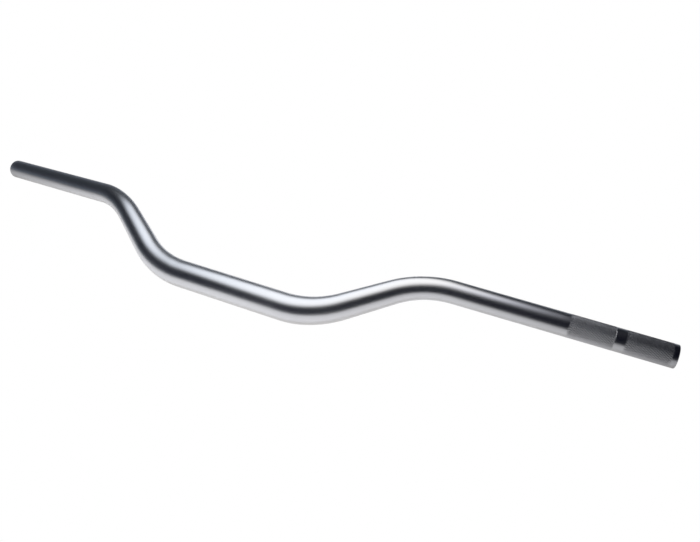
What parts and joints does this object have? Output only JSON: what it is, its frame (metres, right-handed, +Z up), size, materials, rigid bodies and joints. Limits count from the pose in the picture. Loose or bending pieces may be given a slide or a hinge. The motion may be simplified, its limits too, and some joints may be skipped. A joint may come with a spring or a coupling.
{
  "type": "handlebar",
  "caption": "Bare tapered aluminium motorcycle handlebar: thick clamp section, two risers and swept-back grip ends, one of them knurled.",
  "frame": {"origin": "middle of the clamp section, on its axis", "axes": "+X along the clamp section towards the rider's left, the knurled grip; +Y to the rear, the way the grips sweep; +Z up with the bar lying at rest on its clamp section and both tips"},
  "size_m": [0.8384, 0.1248, 0.0556],
  "materials": {
    "bar": "satin silver anodised"
  },
  "bodies": {
    "root": {"bar_tube": "bar"}
  },
  "joints": []
}
